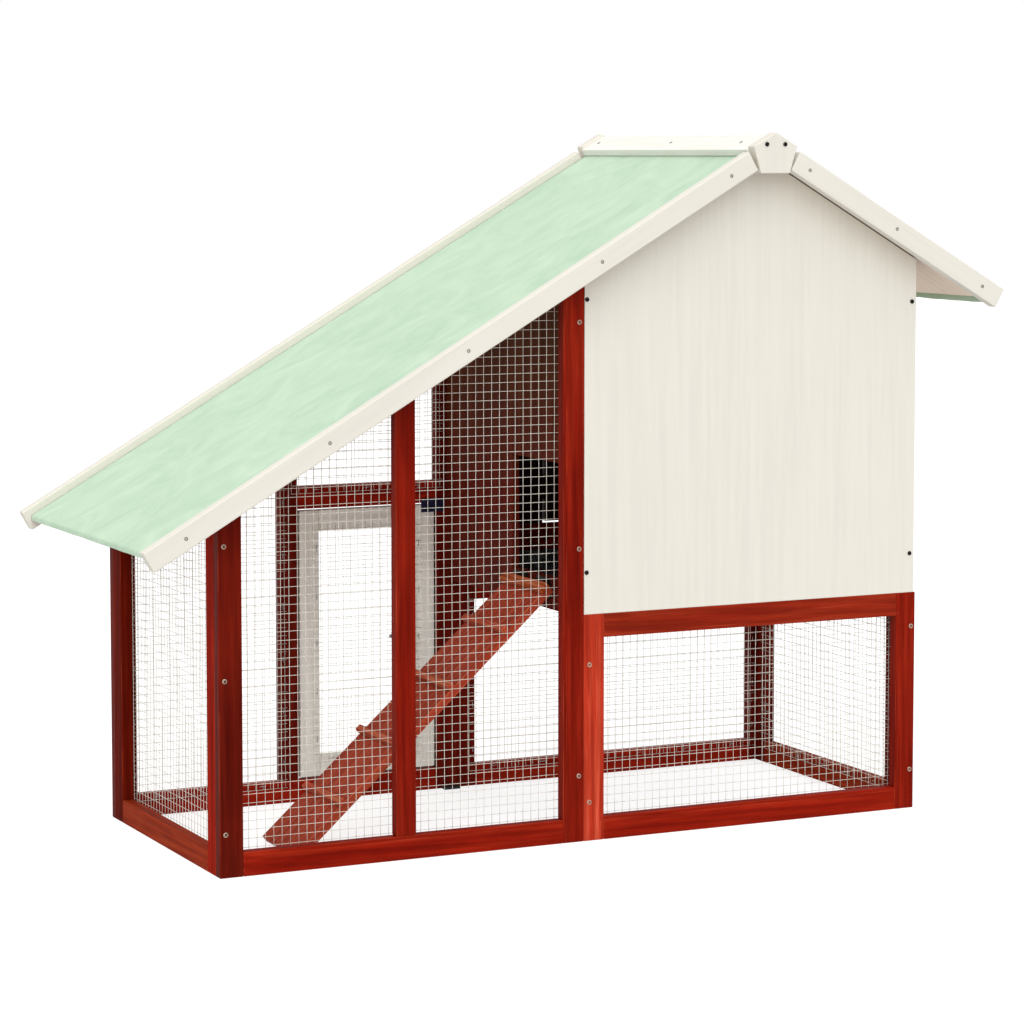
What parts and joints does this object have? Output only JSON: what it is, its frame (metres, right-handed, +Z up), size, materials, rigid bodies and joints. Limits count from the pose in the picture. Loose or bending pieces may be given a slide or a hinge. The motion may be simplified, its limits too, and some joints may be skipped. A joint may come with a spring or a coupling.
{
  "type": "rabbit hutch",
  "caption": "Wooden rabbit hutch: a low wire-mesh run with a ramp beside a raised house, under one ridged felt roof.",
  "frame": {"origin": "on the ground, under the middle of the roof", "axes": "+X from the low end of the run to the house, +Y towards the side with the doors, +Z up"},
  "size_m": [1.3986, 0.5852, 1.0478],
  "materials": {
    "red_stained_wood": "satin stain over visible grain",
    "cream_painted_wood": "satin paint",
    "grey_white_wood": "satin paint",
    "bare_plywood": "bare",
    "brown_stained_board": "matt stain",
    "ramp_wood": "matt stain",
    "green_roofing_felt": "matt mineral surface",
    "galvanised_wire": "galvanised",
    "galvanised_sheet": "galvanised",
    "zinc_plated_steel": "zinc plated",
    "black_screw_steel": "black",
    "blue_plastic": "matt",
    "black_plastic": "matt"
  },
  "bodies": {
    "hutch": {"rear_corner_stile": "red_stained_wood", "rear_middle_stile": "red_stained_wood", "rear_house_stile": "red_stained_wood", "rear_run_rails": "red_stained_wood", "rear_run_mesh": "galvanised_wire", "rear_lower_stiles": "red_stained_wood", "rear_lower_rails": "red_stained_wood", "rear_lower_mesh": "galvanised_wire", "rear_wall_panel": "cream_painted_wood", "left_end_stiles": "red_stained_wood", "left_end_rails": "red_stained_wood", "left_end_mesh": "galvanised_wire", "right_end_stiles": "red_stained_wood", "right_end_rails": "red_stained_wood", "right_end_mesh": "galvanised_wire", "right_wall_panel": "cream_painted_wood", "front_corner_stile": "red_stained_wood", "front_door_post": "red_stained_wood", "front_house_stile": "red_stained_wood", "front_run_rails": "red_stained_wood", "front_head_rail": "red_stained_wood", "front_side_mesh": "galvanised_wire", "front_gable_mesh": "galvanised_wire", "front_lower_stiles": "red_stained_wood", "front_lower_rails": "red_stained_wood", "front_lower_mesh": "galvanised_wire", "front_wall_boards": "cream_painted_wood", "house_corner_posts": "cream_painted_wood", "partition_boards": "brown_stained_board", "house_floor": "bare_plywood", "post_feet": "black_plastic", "roof_panel_long": "cream_painted_wood", "roof_panel_short": "cream_painted_wood", "roof_felt_long": "green_roofing_felt", "roof_felt_short": "green_roofing_felt", "barge_boards": "cream_painted_wood", "ridge_beam": "cream_painted_wood", "ridge_cap_planks": "cream_painted_wood", "ridge_end_blocks": "cream_painted_wood", "hinge_post_leaves": "zinc_plated_steel", "bolt_keepers": "zinc_plated_steel", "door_stop_plate": "blue_plastic", "ramp_hinge_brackets": "black_screw_steel", "frame_screws": "zinc_plated_steel", "roof_screws": "zinc_plated_steel", "panel_bolts": "black_screw_steel"},
    "run_door": {"run_door_frame": "grey_white_wood", "run_door_mesh": "galvanised_wire", "run_door_hinge_leaves": "zinc_plated_steel", "run_door_bolt_plate": "zinc_plated_steel"},
    "run_bolt": {"run_door_bolt_rod": "zinc_plated_steel"},
    "house_door": {"house_door_panel": "cream_painted_wood", "house_door_hinge_leaves": "zinc_plated_steel", "house_door_bolt_plate": "zinc_plated_steel"},
    "house_bolt": {"house_door_bolt_rod": "zinc_plated_steel"},
    "tray": {"tray_pan": "galvanised_sheet", "tray_front": "red_stained_wood"},
    "ramp": {"ramp_board": "ramp_wood", "ramp_cleats": "ramp_wood", "ramp_hinge_straps": "black_screw_steel"}
  },
  "joints": [
    {"name": "run_door_hinge", "type": "hinge", "parent": "hutch", "child": "run_door", "pos_m": [-0.2695, 0.2395, 0.249], "axis": [0, 0, 1], "range_deg": [0, 150]},
    {"name": "run_bolt_slide", "type": "slide", "parent": "run_door", "child": "run_bolt", "axis": [1, 0, 0], "range_m": [0, 0.022]},
    {"name": "house_door_hinge", "type": "hinge", "parent": "hutch", "child": "house_door", "pos_m": [0.1615, 0.2395, 0.58], "axis": [0, 0, 1], "range_deg": [0, 120]},
    {"name": "house_bolt_slide", "type": "slide", "parent": "house_door", "child": "house_bolt", "axis": [1, 0, 0], "range_m": [0, 0.022]},
    {"name": "tray_slide", "type": "slide", "parent": "hutch", "child": "tray", "axis": [0, 1, 0], "range_m": [0, 0.38]},
    {"name": "ramp_hinge", "type": "hinge", "parent": "hutch", "child": "ramp", "pos_m": [-0.023, 0, 0.3836], "axis": [0, 1, 0], "range_deg": [0, 20]}
  ]
}
